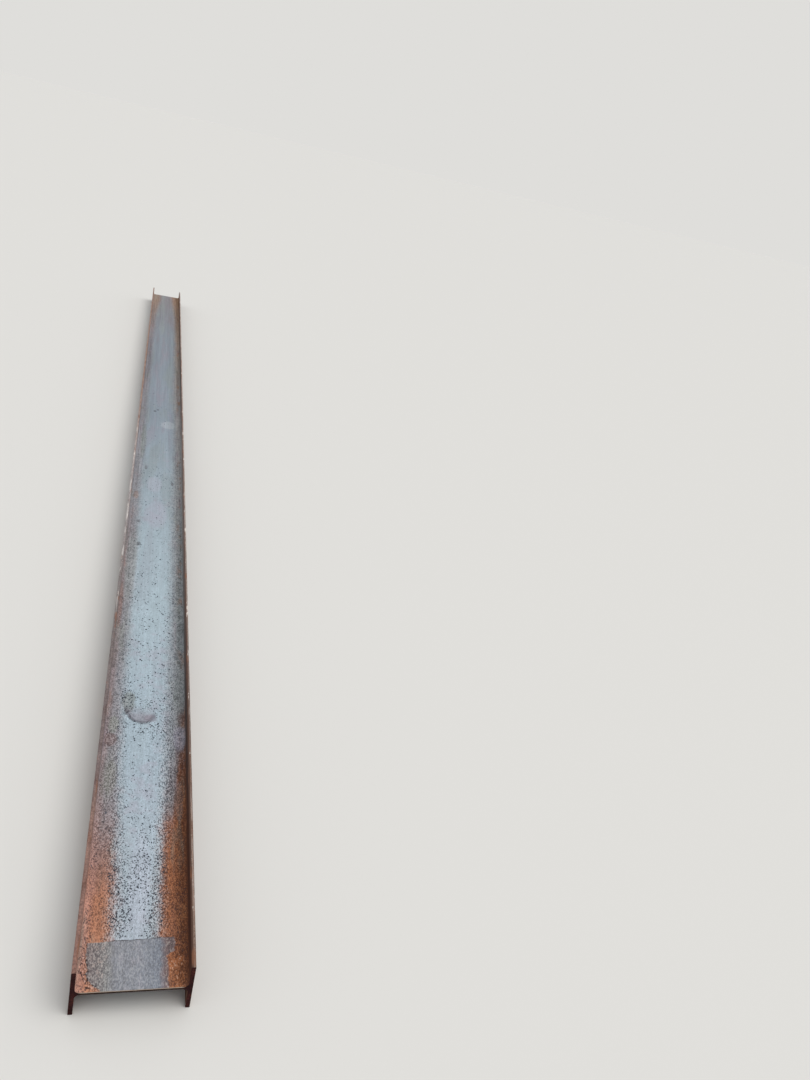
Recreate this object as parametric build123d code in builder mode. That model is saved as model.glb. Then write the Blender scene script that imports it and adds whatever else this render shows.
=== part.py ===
"""Steel i-beam: one length of hot-rolled section with parallel flanges.

The beam lies as it would rest unheld on a floor: web level, standing on the toes of
both flanges. X runs along the beam, Y across the depth of the section from flange to
flange, and Z is up. The origin is the middle of the rectangle that the beam covers on
the floor. All sizes are in millimetres.
"""

import os

from build123d import *

# Driving dimensions
beam_length = 6000.0  # between the two square-cut ends
section_depth = 200.0  # over the outer faces of the flanges
flange_width = 100.0  # from toe to toe
flange_thickness = 8.0
web_thickness = 5.5
root_radius = 8.0  # rolled fillet between web and flange
toe_radius = 1.6  # rounding that the rolls leave on each edge of a toe

# Places worked out from them
half_length = beam_length / 2
web_level = flange_width / 2
clear_depth = section_depth - 2 * flange_thickness
flange_centre = (section_depth - flange_thickness) / 2

with BuildPart() as i_beam:
    # The section, drawn at one cut end: Y of the beam is X of the sketch
    with BuildSketch(Plane.YZ.offset(-half_length)) as section:
        with Locations((-flange_centre, web_level), (flange_centre, web_level)):
            Rectangle(flange_thickness, flange_width)
        with Locations((0, web_level)):
            Rectangle(clear_depth, web_thickness)
        # Every corner between the two rows of toes is a root
        roots = section.vertices().filter_by_position(Axis.Y, 0, flange_width, (False, False))
        fillet(roots, radius=root_radius)
        rows = section.vertices().group_by(Axis.Y)
        fillet(rows[0] + rows[-1], radius=toe_radius)
    # Rolled as one piece and cut square at both ends
    extrude(amount=beam_length)

i_beam.part.label = "i_beam"

os.makedirs("parts", exist_ok=True)
export_step(i_beam.part, "parts/i_beam.step")
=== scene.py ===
"""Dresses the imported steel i-beam as rolled stock that has weathered in a yard.

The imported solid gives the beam's place and size. One closed mesh stands for it, with the
section's roots and toes, worn edges and cut ends. A second mesh holds the small blisters
of rust on the web. Everything is in metres: X runs along the beam, Y across the depth of
the section and Z is up. The end at +X is the near one, and "along" means the distance
from it.
"""

import logging
import math
import random
from bisect import bisect_left
from dataclasses import dataclass
from enum import IntEnum
from typing import ClassVar

import bmesh
import bpy
from mathutils import Matrix, Vector, noise


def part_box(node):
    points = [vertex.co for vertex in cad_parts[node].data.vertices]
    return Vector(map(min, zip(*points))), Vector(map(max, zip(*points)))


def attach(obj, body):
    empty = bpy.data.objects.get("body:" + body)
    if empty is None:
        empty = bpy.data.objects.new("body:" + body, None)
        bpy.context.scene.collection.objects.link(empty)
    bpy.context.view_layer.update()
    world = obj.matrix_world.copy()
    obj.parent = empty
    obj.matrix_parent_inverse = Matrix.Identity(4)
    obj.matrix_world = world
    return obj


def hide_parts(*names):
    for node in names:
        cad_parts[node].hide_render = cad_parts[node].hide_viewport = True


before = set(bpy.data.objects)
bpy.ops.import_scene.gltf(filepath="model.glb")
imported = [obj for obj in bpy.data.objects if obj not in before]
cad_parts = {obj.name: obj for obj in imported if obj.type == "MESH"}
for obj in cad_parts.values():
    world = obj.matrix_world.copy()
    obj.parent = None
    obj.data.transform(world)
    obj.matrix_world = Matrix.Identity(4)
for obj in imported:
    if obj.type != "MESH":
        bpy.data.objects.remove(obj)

LOG = logging.getLogger("i_beam")
NODE = "i_beam"
BODY = "root"
MM = 0.001

Colour = tuple[float, float, float, float]
Stop = tuple[float, int, int, int]
Triple = tuple[float, float, float]


def shade(red: int, green: int, blue: int) -> Colour:
    """Turns a colour as shown on a screen, 0 to 255 a channel, into linear light.

    Args:
        red: Red as shown on a screen.
        green: Green as shown on a screen.
        blue: Blue as shown on a screen.

    Returns:
        The linear colour with an alpha of 1.
    """

    def linear(channel: int) -> float:
        """One channel in linear light."""
        share = channel / 255
        return share / 12.92 if share <= 0.04045 else ((share + 0.055) / 1.055) ** 2.4

    return (linear(red), linear(green), linear(blue), 1.0)


class Zone(IntEnum):
    """The finishes on the beam's faces, in the order of the mesh's material slots."""

    CHANNEL_TOP = 0
    CHANNEL_UNDER = 1
    FLANGE = 2
    TOE = 3
    CUT_END = 4


def climb(value: float, low: float, high: float) -> float:
    """Climbs evenly from 0 at low to 1 at high."""
    return min(max((value - low) / (high - low), 0.0), 1.0)


def bumps(here: Vector, along: float, across: float, level: float = 0.0) -> float:
    """Reads noise between -1 and 1.

    Args:
        here: The point.
        along: How many waves there are to a metre along the beam.
        across: How many there are to a metre across it and up.
        level: Where the noise is read, so that no two are alike.

    Returns:
        The noise there.
    """
    return noise.noise(Vector((here.x * along, here.y * across, here.z * across + level)))


@dataclass(frozen=True)
class Reading:
    """What a node gives. Arithmetic on it adds the nodes that do the sum.

    Attributes:
        bench: The bench that the node stands on.
        socket: The node's output.
    """

    bench: "Bench"
    socket: bpy.types.NodeSocket

    def __add__(self, other: "Value") -> "Reading":
        """Adds two values."""
        return self.bench.math("ADD", self, other)

    def __sub__(self, other: "Value") -> "Reading":
        """Takes a value away."""
        return self.bench.math("SUBTRACT", self, other)

    def __rsub__(self, other: float) -> "Reading":
        """Takes this away from a number."""
        return self.bench.math("SUBTRACT", other, self)

    def __mul__(self, other: "Value") -> "Reading":
        """Multiplies two values."""
        return self.bench.math("MULTIPLY", self, other)

    def __truediv__(self, other: "Value") -> "Reading":
        """Divides by a value."""
        return self.bench.math("DIVIDE", self, other)

    def __neg__(self) -> "Reading":
        """Turns the sign round."""
        return self * -1.0

    def __abs__(self) -> "Reading":
        """Drops the sign."""
        return self.bench.math("ABSOLUTE", self)

    __radd__ = __add__
    __rmul__ = __mul__


Value = Reading | float
Paint = Reading | Colour


def add_node(tree: bpy.types.NodeTree, kind: str, feeds: dict, **settings: object) -> bpy.types.Node:
    """Adds a node, sets its properties and feeds its inputs.

    Args:
        tree: The tree that gets the node.
        kind: The node's type.
        feeds: What each input gets, by its name or number: an output to link or a plain value.
        **settings: Properties of the node by name.

    Returns:
        The new node.
    """
    node = tree.nodes.new(kind)
    for key, value in settings.items():
        setattr(node, key, value)
    for key, value in feeds.items():
        source = value.socket if isinstance(value, Reading) else value
        if isinstance(source, bpy.types.NodeSocket):
            tree.links.new(source, node.inputs[key])
        else:
            node.inputs[key].default_value = source
    return node


class Bench:
    """One material while it is wired.

    Attributes:
        material: The material.
        tree: Its nodes.
        colour: Its colour so far, which each coat changes.
        place: The point's place on the piece.
        x: Its place along the beam.
        y: Its place across the beam.
        z: Its height.
    """

    def __init__(self, name: str) -> None:
        """Starts an empty material that reads the piece's own place.

        Args:
            name: The material's name.
        """
        self.material = bpy.data.materials.new(name)
        self.material.use_nodes = True
        self.tree = self.material.node_tree
        self.tree.nodes.clear()
        self.colour: Paint = shade(255, 255, 255)
        self.place = self.give("ShaderNodeTexCoord", {}, "Object")
        split = add_node(self.tree, "ShaderNodeSeparateXYZ", {0: self.place})
        self.x, self.y, self.z = (Reading(self, socket) for socket in split.outputs)

    def give(self, kind: str, feeds: dict, output: int | str = 0, **settings: object) -> Reading:
        """Adds a node and gives one of its outputs."""
        return Reading(self, add_node(self.tree, kind, feeds, **settings).outputs[output])

    def math(self, operation: str, *values: Value) -> Reading:
        """Does one step of arithmetic on one or two values."""
        return self.give("ShaderNodeMath", dict(enumerate(values)), operation=operation)

    def least(self, first: Value, second: Value) -> Reading:
        """Gives the smaller of two values."""
        return self.math("MINIMUM", first, second)

    def most(self, first: Value, second: Value) -> Reading:
        """Gives the larger of two values."""
        return self.math("MAXIMUM", first, second)

    def rise(self, value: Value, low: Value, high: Value) -> Reading:
        """Climbs smoothly from 0 at low to 1 at high."""
        return self.give("ShaderNodeMapRange", {0: value, 1: low, 2: high}, interpolation_type="SMOOTHSTEP")

    def fall(self, value: Value, low: Value, high: Value) -> Reading:
        """Drops smoothly from 1 at low to 0 at high."""
        return 1.0 - self.rise(value, low, high)

    def band(self, value: Value, low: float, high: float, soft: float) -> Reading:
        """Is 1 between two limits and fades to 0 over a soft width outside them."""
        return self.rise(value, low - soft, low) * self.fall(value, high, high + soft)

    def slide(self, value: Value, low: float, high: float, first: Value, last: Value) -> Reading:
        """Moves evenly from one result to another while a value crosses a range."""
        return self.give("ShaderNodeMapRange", {0: value, 1: low, 2: high, 3: first, 4: last})

    def between(self, share: Value, first: Value, last: Value) -> Reading:
        """Moves evenly from one result to another while a share goes from 0 to 1."""
        return self.slide(share, 0.0, 1.0, first, last)

    def stretched(self, waves: Triple, seed: float) -> Reading:
        """Gives the place in waves instead of metres, shifted by a seed."""
        feeds = {"Vector": self.place, "Scale": waves, "Location": (seed, 1.7 * seed, 2.3 * seed)}
        return self.give("ShaderNodeMapping", feeds)

    def grain(self, waves: Triple, seed: float, detail: float, rough: float) -> Reading:
        """Adds noise about 0, nearly always between -0.5 and 0.5.

        Args:
            waves: How many waves there are to a metre along X, Y and Z.
            seed: Where the noise is read, so that no two are alike.
            detail: How many finer layers it has.
            rough: How strong each finer layer is.

        Returns:
            The noise less its middle value.
        """
        place = self.stretched(waves, seed)
        feeds = {"Vector": place, "Scale": 1.0, "Detail": detail, "Roughness": rough}
        return self.give("ShaderNodeTexNoise", feeds, "Fac") - 0.5

    def dots(self, cells: Triple, radius: float, share: Value, seed: float, warp: Value) -> Reading:
        """Scatters round dots, each somewhere in a cell of its own.

        Args:
            cells: How many cells there are to a metre along X, Y and Z.
            radius: The largest dot's radius as a share of a cell.
            share: How many of the cells hold a dot, from 0 to 1.
            seed: Where the cells are read.
            warp: Noise about 0 that roughens the outlines.

        Returns:
            A mask that is 1 inside a dot.
        """
        feeds = {"Vector": self.stretched(cells, seed), "Scale": 1.0}
        texture = add_node(self.tree, "ShaderNodeTexVoronoi", feeds)
        draw = add_node(self.tree, "ShaderNodeSeparateColor", {0: texture.outputs["Color"]})
        first, second = (Reading(self, draw.outputs[number]) for number in (0, 1))
        held = self.math("LESS_THAN", first, share)
        reach = radius * (0.45 + second * 0.55)
        away = Reading(self, texture.outputs["Distance"]) + warp * (1.6 * radius)
        return held * self.fall(away, reach * 0.75, reach)

    def blend(self, share: Value, first: Paint, second: Paint, kind: str = "MIX") -> Reading:
        """Lays the second colour over the first by a share.

        Args:
            share: How much of the second colour shows, from 0 to 1.
            first: The colour below.
            second: The colour above.
            kind: How the two are mixed.

        Returns:
            The mixed colour.
        """
        feeds = {0: share, 6: first, 7: second}
        return self.give("ShaderNodeMix", feeds, 2, data_type="RGBA", blend_type=kind)

    def coat(self, cover: Value, paint: Paint) -> None:
        """Lays a paint over the colour so far."""
        self.colour = self.blend(cover, self.colour, paint)

    def scaled(self, colour: Paint, factor: Value) -> Reading:
        """Makes a colour lighter or darker by a factor."""
        feeds = {0: colour[:3] if isinstance(colour, tuple) else colour, "Scale": factor}
        return self.give("ShaderNodeVectorMath", feeds, operation="SCALE")

    def mottled(self, colour: Paint, change: Reading, floor: float) -> Reading:
        """Makes a colour lighter and darker by a change about 0, down to a floor."""
        return self.scaled(colour, self.most(1.0 + change, floor))

    def ramp(self, share: Reading, *stops: Stop) -> Reading:
        """Reads a colour off a run of stops.

        Args:
            share: Where to read, from 0 to 1.
            *stops: Each stop's place and its colour as shown on a screen, in order.

        Returns:
            The colour there.
        """
        node = add_node(self.tree, "ShaderNodeValToRGB", {0: share})
        points = node.color_ramp.elements
        while len(points) < len(stops):
            points.new(0.5)
        for point, (position, *colour) in zip(points, stops):
            point.position = position
            point.color = shade(*colour)
        return Reading(self, node.outputs[0])

    def finish(self, roughness: Value, height: Value, gloss: float) -> bpy.types.Material:
        """Closes the material with its colour and its shader.

        Args:
            roughness: Its roughness, from 0 to 1.
            height: Its relief in millimetres.
            gloss: The shader's specular level.

        Returns:
            The finished material.
        """
        bump = self.give("ShaderNodeBump", {"Strength": 1.0, "Distance": MM, "Height": height})
        feeds = {"Roughness": roughness, "Specular IOR Level": gloss, "Normal": bump}
        shader = self.give("ShaderNodeBsdfPrincipled", feeds | {"Base Color": self.colour})
        add_node(self.tree, "ShaderNodeOutputMaterial", {"Surface": shader})
        return self.material


def make_piece(name: str, shape: bmesh.types.BMesh, finishes: list[bpy.types.Material]) -> bpy.types.Object:
    """Turns a shape into a piece of the scene.

    Args:
        name: The piece's name.
        shape: Its shape, which is used up.
        finishes: Its materials, in the order of the mesh's slots.

    Returns:
        The piece.
    """
    mesh = bpy.data.meshes.new(name)
    shape.to_mesh(mesh)
    shape.free()
    for finish in finishes:
        mesh.materials.append(finish)
    piece = bpy.data.objects.new(name, mesh)
    bpy.context.scene.collection.objects.link(piece)
    return piece


@dataclass(frozen=True)
class Section:
    """The rolled section and its place, as the solid has them.

    Attributes:
        half_length: Half of the beam's length.
        half_depth: Half of the depth over the flanges.
        flange_width: Height of the flanges as the beam lies.
        flange: Flange thickness.
        web: Web thickness.
        root: Radius of the fillets between web and flanges.
        toe: Radius on the edges of the toes.
    """

    half_length: float
    half_depth: float
    flange_width: float
    flange: float = 8.0 * MM
    web: float = 5.5 * MM
    root: float = 8.0 * MM
    toe: float = 1.6 * MM

    @property
    def inner(self) -> float:
        """Distance from the middle to a flange's inner face."""
        return self.half_depth - self.flange

    @property
    def web_top(self) -> float:
        """Height of the web's upper face."""
        return (self.flange_width + self.web) / 2

    @property
    def web_under(self) -> float:
        """Height of the web's lower face."""
        return (self.flange_width - self.web) / 2


@dataclass(frozen=True)
class Spot:
    """An oval place on the web.

    Attributes:
        along: Its middle, from the near end.
        across: Its middle across the web.
        long: Its half length.
        wide: Its half width.
    """

    along: float
    across: float
    long: float
    wide: float

    def reach(self, along: Value, across: Value) -> Value:
        """Gives the square of how far out a point lies, which is 1 on the oval's edge.

        Args:
            along: The point's distance from the near end.
            across: Its place across the web.

        Returns:
            The squared distance in half sizes.
        """
        down = (along - self.along) / self.long
        side = (across - self.across) / self.wide
        return down * down + side * side


@dataclass(frozen=True)
class Stain(Spot):
    """A stain with a ragged outline on the web.

    Attributes:
        colour: Its colour.
        strength: How much of it shows, from 0 to 1.
    """

    colour: Colour
    strength: float


@dataclass(frozen=True)
class Film:
    """The outline of the flat grey film on the web's near end.

    Attributes:
        end: How far it reaches from the near end.
        left: How far it reaches left of the middle line.
        right: How far it reaches right of it.
        curl: How far its left edge curls in at the cut.
        ledge: How far its right edge steps out below the top.
        lean: How far its right edge leans out toward the cut.
    """

    end: float = 101 * MM
    left: float = 80 * MM
    right: float = 55 * MM
    curl: float = 26 * MM
    ledge: float = 15 * MM
    lean: float = 7 * MM


class WebBench(Bench):
    """The upper channel's material, with the readings that its steps share.

    Attributes:
        along: Distance from the near end.
        share: The same as a share of the length, drifting a little with noise.
        later: The share again, held back up the right root.
        out: Distance from the middle line, counted on up the fillet and the flange.
        right: 1 on the side of +Y and 0 on the other.
        crumb: Noise of two to four millimetres.
        grit: Noise of three to five millimetres.
        sand: Crumb by the near end and grit away from it.
        fine: Noise of under a centimetre.
        mottle: Noise of one or two centimetres, with longer blotches away from the near end.
        coarse: Noise of a few centimetres.
        wide: Noise of a few decimetres.
        streak: Fine noise drawn out along the beam.
        stripe: Broader noise drawn out along the beam.
        past: Distance outside the band of scale, whose edge is ragged.
        rusted: How far the rust covers, from 0 to 1.
        stipple: 1 where the rust thins to a grey stipple.
    """

    def __init__(self, name: str, section: Section) -> None:
        """Starts the material and wires the readings.

        Args:
            name: The material's name.
            section: The beam's section.
        """
        super().__init__(name)
        self.along = section.half_length - self.x
        self.out = abs(self.y) + self.most(self.z - section.web_top, 0.0)
        self.right = self.rise(self.y, -MM, MM)
        self.crumb = self.grain((280, 560, 560), 87.0, 2.0, 0.7)
        self.grit = self.grain((190, 380, 380), 21.0, 2.0, 0.7)
        self.fine = self.grain((105, 180, 180), 3.1, 4.0, 0.75)
        self.coarse = self.grain((38, 38, 38), 7.7, 4.0, 0.6)
        self.wide = self.grain((3.0, 9.0, 9.0), 5.3, 3.0, 0.55)
        self.streak = self.grain((3.0, 260, 260), 9.9, 2.0, 0.6)
        self.stripe = self.grain((1.1, 48, 48), 14.2, 3.0, 0.6)
        mottle = self.grain((60, 120, 120), 33.0, 3.0, 0.7) * self.slide(self.along, 0.2, 1.1, 0.3, 1.8)
        blotch = self.grain((10, 70, 70), 35.0, 3.0, 0.7) * self.slide(self.along, 1.0, 2.6, 0.0, 1.2)
        self.mottle = mottle + blotch
        sand = self.crumb * self.slide(self.along, 0.15, 0.6, 1.1, 0.2)
        self.sand = sand + self.grit * self.slide(self.along, 0.15, 0.6, 0.2, 1.0)
        drift = self.wide * 0.2 + self.coarse * 0.06
        held_back = self.rise(self.y, 62 * MM, 84 * MM) * self.fall(self.along, 0.6, 1.2)
        behind = self.along - held_back * 0.19
        self.share = (self.along + drift) / (2 * section.half_length)
        self.later = (behind + drift) / (2 * section.half_length)
        self.stipple = self.rise(behind - self.right * 0.08, 0.2, 0.38)
        self.past = self.past_edge()
        soft = self.slide(self.along, 0.12, 1.1, 10 * MM, 17 * MM)
        self.rusted = self.rise(self.past, -soft, soft)

    def past_edge(self) -> Reading:
        """Finds how far a point lies outside the band of scale.

        Returns:
            The distance past the band's ragged edge, less than 0 on the scale.
        """
        # The band widens away from the near end and narrows again before the far one
        edge = self.slide(self.along, 0.12, 0.8, 42 * MM, 56 * MM)
        edge += self.slide(self.along, 1.4, 2.8, 0.0, 8 * MM)
        edge -= self.slide(self.along, 5.2, 6.0, 0.0, 26 * MM)

        # Its right edge lies closer in at first, and its left one farther out a little later
        on_right = self.fall(self.along, 0.36, 0.48) * (-2.5 * MM)
        on_left = self.band(self.along, 0.45, 0.85, 0.1) * (1.6 * MM)
        edge += self.between(self.right, on_left, on_right)
        ragged = self.wide * (16 * MM) + self.fine * (20 * MM) + self.coarse * (18 * MM)
        return self.out + ragged - edge


@dataclass(frozen=True)
class Finish:
    """A finish of the beam, made for its section.

    Attributes:
        section: The beam's section.
    """

    section: Section


@dataclass(frozen=True)
class ChannelFinish(Finish):
    """The upper channel: scale down the middle of the web, rust toward the roots.

    Attributes:
        film: The outline of the flat grey film.
        smudge: The rounded smudge in the scale.
        stains: The larger stains, and one painted highlight among them.
    """

    film: Film = Film()
    smudge: Spot = Spot(0.765, -0.013, 0.050, 0.037)

    stains: ClassVar[tuple[Stain, ...]] = (
        Stain(0.230, 0.003, 0.130, 0.020, shade(188, 194, 208), 0.40),
        Stain(0.520, -0.068, 0.060, 0.013, shade(142, 142, 132), 0.50),
        Stain(0.665, 0.079, 0.046, 0.016, shade(154, 154, 168), 0.65),
        Stain(0.655, -0.076, 0.024, 0.015, shade(132, 108, 104), 0.65),
        Stain(0.710, -0.072, 0.034, 0.013, shade(140, 146, 134), 0.50),
        Stain(0.740, 0.086, 0.022, 0.012, shade(96, 74, 70), 0.45),
        Stain(0.800, -0.042, 0.045, 0.016, shade(118, 116, 104), 0.55),
        Stain(0.835, 0.079, 0.075, 0.018, shade(134, 142, 144), 0.55),
        Stain(0.738, 0.010, 0.016, 0.016, shade(132, 122, 134), 0.50),
        Stain(1.080, 0.082, 0.150, 0.012, shade(122, 130, 132), 0.40),
        Stain(1.275, -0.088, 0.140, 0.007, shade(140, 104, 86), 0.35),
        Stain(1.540, -0.070, 0.260, 0.018, shade(156, 160, 160), 0.55),
        Stain(1.020, -0.089, 0.090, 0.007, shade(104, 96, 94), 0.50),
        Stain(0.450, 0.078, 0.060, 0.009, shade(128, 116, 112), 0.55),
        Stain(1.680, -0.050, 0.016, 0.007, shade(84, 84, 88), 0.60),
        Stain(1.860, -0.056, 0.014, 0.006, shade(84, 82, 86), 0.60),
        Stain(2.090, -0.074, 0.040, 0.010, shade(140, 116, 104), 0.55),
        Stain(2.230, 0.058, 0.016, 0.006, shade(74, 72, 78), 0.60),
        Stain(2.380, -0.046, 0.022, 0.006, shade(98, 96, 102), 0.55),
        Stain(2.700, -0.066, 0.220, 0.012, shade(128, 134, 126), 0.45),
        Stain(1.930, 0.002, 0.120, 0.040, shade(176, 172, 188), 0.35),
        Stain(2.210, -0.010, 0.080, 0.030, shade(178, 176, 190), 0.35),
        Stain(3.125, -0.026, 0.014, 0.007, shade(62, 60, 68), 0.60),
        Stain(3.150, -0.013, 0.012, 0.006, shade(70, 68, 76), 0.60),
        # A pale spot far along the web: a painted highlight on the scale
        Stain(2.940, 0.036, 0.055, 0.034, shade(176, 182, 188), 0.50),
    )

    def build(self) -> bpy.types.Material:
        """Wires the material, each step over the last.

        Returns:
            The finished material.
        """
        web = WebBench("mill_scale_and_rust", self.section)
        web.colour = web.blend(web.rusted, self.scale(web), self.border(web))
        for step in (self.stain, self.shift, self.pepper, self.tear, self.pit, self.walls, self.smear):
            step(web)
        top, left, film = self.film_edges(web)
        web.coat(film * self.film_wear(web), self.film_grey(web))
        self.film_shadow_and_marks(web, top, left)
        self.scratch(web)
        roughness = web.between(web.rusted, 0.58, 0.88) + web.coarse * 0.2
        relief = web.fine * web.between(web.rusted, 0.3, 0.8) + web.coarse * 0.35
        relief += web.crumb * web.between(web.rusted, 0.15, 0.45)
        relief = relief * web.fall(web.out, 76 * MM, 92 * MM) + film * 0.15
        return web.finish(roughness, relief, 0.3)

    def scale(self, web: WebBench) -> Reading:
        """Colours the band of mill scale, pale blue near and greyer away.

        Args:
            web: The material being wired.

        Returns:
            The scale's colour.
        """
        colour = web.ramp(
            web.share,
            (0.0, 178, 188, 198), (0.10, 170, 186, 197), (0.22, 172, 189, 198),
            (0.50, 137, 148, 159), (0.76, 129, 138, 148), (0.97, 130, 126, 130),
        )
        lilac = web.rise(web.coarse + web.wide * 0.7, 0.02, 0.24)
        colour = web.blend(lilac * 0.34, colour, shade(158, 148, 162))
        cloud = web.grain((2.2, 16, 16), 81.0, 3.0, 0.6) + web.stripe * 0.4
        far = web.slide(web.along, 1.4, 3.2, 0.15, 0.5)
        colour = web.blend(web.rise(cloud, 0.0, 0.18) * far, colour, shade(134, 142, 140))
        plum = web.blend(web.rise(web.along, 3.4, 5.4), shade(146, 140, 152), shade(134, 124, 128))
        return web.blend(web.rise(-cloud, 0.0, 0.18) * far, colour, plum)

    def border(self, web: WebBench) -> Reading:
        """Colours the rust on both sides of the scale, darker into the right root by the near end, partly
        rust and partly painted shade of the right flange.

        Args:
            web: The material being wired.

        Returns:
            The rust's colour.
        """
        left = web.ramp(
            web.share,
            (0.035, 174, 123, 98), (0.052, 150, 118, 109), (0.082, 145, 142, 147),
            (0.20, 148, 149, 154), (0.76, 136, 132, 138), (0.97, 156, 134, 120),
        )
        right = web.ramp(
            web.later,
            (0.066, 150, 96, 68), (0.077, 128, 122, 124), (0.102, 145, 150, 156),
            (0.34, 146, 150, 154), (0.76, 150, 139, 132), (0.97, 151, 123, 104),
        )
        # Darker brown into the right root by the near end: partly rust, partly painted shade cast by the
        # right flange
        root = web.ramp(
            web.later,
            (0.064, 98, 58, 37), (0.09, 116, 101, 96), (0.15, 142, 148, 150),
            (0.50, 156, 154, 154), (0.72, 154, 138, 127), (1.0, 152, 118, 90),
        )
        right = web.blend(web.rise(web.y, 60 * MM, 86 * MM) * 0.9, right, root)
        colour = web.blend(web.right, left, right)

        # Pinker along the outer strip of the left side
        outer = web.rise(-web.y, 72 * MM, 88 * MM) * web.fall(web.along, 1.6, 2.2)
        rosy = web.blend(web.rise(web.along, 0.2, 0.6), shade(190, 146, 134), shade(136, 118, 117))
        colour = web.blend(outer * 0.7, colour, rosy)
        brown = web.rise(web.grain((9, 34, 34), 61.0, 3.0, 0.6), 0.04, 0.16)
        brown = brown * web.rise(web.out, 66 * MM, 90 * MM) * web.between(web.right, 0.25, 0.6)
        colour = web.blend(brown, colour, shade(146, 98, 66))

        # Greenish and plum patches that run along
        patch = web.grain((5, 34, 34), 67.0, 3.0, 0.6)
        colour = web.blend(web.rise(patch, 0.04, 0.2) * 0.45, colour, shade(128, 132, 124))
        plum = web.rise(-patch, 0.04, 0.2) * web.slide(web.along, 0.3, 0.5, 0.1, 0.4)
        return web.blend(plum, colour, shade(128, 108, 116))

    def stain(self, web: WebBench) -> None:
        """Lays the single stains on, and the painted highlight among them.

        Args:
            web: The material being wired.
        """
        ragged = web.coarse * 1.6 + web.grit * 1.2
        for stain in self.stains:
            cover = web.fall(stain.reach(web.along, web.y) + ragged, 0.5, 1.3)
            web.coat(cover * stain.strength, stain.colour)

    def shift(self, web: WebBench) -> None:
        """Makes scale and rust lighter and darker by the sum of their noises.

        Args:
            web: The material being wired.
        """
        drawn = web.rusted * web.slide(web.along, 0.9, 2.4, 0.0, 1.3)
        drawn = web.most(drawn, web.slide(web.along, 1.8, 3.4, 0.0, 0.4))
        total = drawn * (web.streak + web.stripe * 0.6)
        total += web.sand * web.slide(web.along, 0.3, 1.1, 0.8, 0.0)
        smooth = web.slide(web.along, 1.2, 3.0, 1.0, 0.4)
        for part, on_scale, on_rust in (
            (web.streak, 0.35, 0.40),
            (web.stripe, 0.25, 0.35),
            (web.coarse, 0.35, 0.75),
            (web.mottle, 0.15, 1.00),
            (web.fine, 0.50, 1.20),
            (web.sand, 0.50, 1.50),
        ):
            total += part * smooth * web.between(web.rusted, on_scale, on_rust)
        web.colour = web.mottled(web.colour, total, 0.3)

    def pepper(self, web: WebBench) -> None:
        """Peppers the scale with dark dots by the near end and with flecks farther on.

        Args:
            web: The material being wired.
        """
        clear = web.band(web.y, -10 * MM, 16 * MM, 14 * MM) * web.fall(web.along, 0.17, 0.27)
        thin = web.fall(web.along, 0.16, 0.58) * web.between(clear, 0.8, 0.16)
        crowd = 1.0 + web.grain((13, 30, 30), 71.0, 2.0, 0.6) * 5.5
        dots = web.dots((220, 220, 220), 0.5, (thin + 0.01) * crowd, 5.0, web.crumb)
        web.coat(dots * web.between(web.rusted, 0.85, 0.6), shade(46, 50, 60))
        distant = web.band(web.along, 0.6, 1.1, 0.5) * 0.085
        flecks = web.dots((84, 150, 150), 0.4, distant * crowd, 9.0, web.grit)
        web.coat(flecks * 0.85, shade(58, 66, 78))

    def tear(self, web: WebBench) -> None:
        """Tears the edge of the scale into dark and light grains.

        Args:
            web: The material being wired.
        """
        torn = web.band(web.past, -9 * MM, 9 * MM, 10 * MM)
        torn = torn * (0.15 + web.fall(web.along, 0.3, 1.1) * 0.85)
        torn = torn * web.most(web.right, web.slide(web.along, 0.35, 0.5, 1.0, 0.7))
        rough = web.sand + web.mottle * 0.3
        dark = web.blend(web.stipple, shade(84, 66, 62), shade(70, 68, 74))
        web.coat(torn * web.rise(-rough, 0.02, 0.08) * 0.8, dark)
        light = torn * web.rise(rough, 0.02, 0.08) * web.between(web.rusted, 0.85, 0.4)
        web.coat(light, shade(190, 195, 200))

    def pit(self, web: WebBench) -> None:
        """Sets pits and light grains in the rust, greyer where it thins to a stipple.

        Args:
            web: The material being wired.
        """
        coarser = web.sand + web.fine * 0.2
        flat = web.between(web.rise(web.out, 84 * MM, 100 * MM), 1.0, 0.35) * web.rusted
        flat = flat * web.slide(web.along, 0.45, 0.95, 1.0, 0.35) * web.slide(web.along, 1.5, 3.0, 1.0, 0.3)
        settled = web.most(web.right, web.slide(web.along, 0.10, 0.36, 0.35, 1.0))
        strength = settled * web.between(web.right, 0.34, 0.62)
        pits = flat * web.rise(-coarser, 0.01, 0.08) * web.between(web.stipple, strength, 0.44)
        web.coat(pits, web.blend(web.stipple, shade(96, 58, 42), shade(76, 68, 72)))
        grains = flat * web.rise(coarser, 0.02, 0.09) * web.between(web.stipple, strength * 0.7, 0.45)
        web.coat(grains, web.blend(web.stipple, shade(192, 132, 92), shade(186, 180, 184)))

    def walls(self, web: WebBench) -> None:
        """Darkens the inner faces of the flanges, the more so by the near end: dark rust with painted shade,
        in full on the right flange's inner face, which faces away from the lamp.

        Args:
            web: The material being wired.
        """
        dark = web.ramp(
            web.share,
            (0.06, 72, 37, 21), (0.12, 70, 53, 47), (0.27, 130, 117, 111),
            (0.42, 156, 147, 142), (0.60, 104, 99, 94), (0.95, 112, 80, 60),
        )
        run = web.grain((1.6, 60, 190), 41.0, 4.0, 0.6)
        dark = web.mottled(dark, run * 2.0 + web.coarse * 0.6 + web.fine * 1.4, 0.3)
        # Painted shade with dark rust: in full on the right inner face, weakly on the left one
        wall_rust_and_shade = web.rise(web.out, web.between(web.right, 104 * MM, 92 * MM), 114 * MM)
        cover = web.most(web.slide(web.along, 0.2, 1.2, 0.1, 0.35), web.right)
        web.coat(wall_rust_and_shade * cover, dark)

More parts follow.
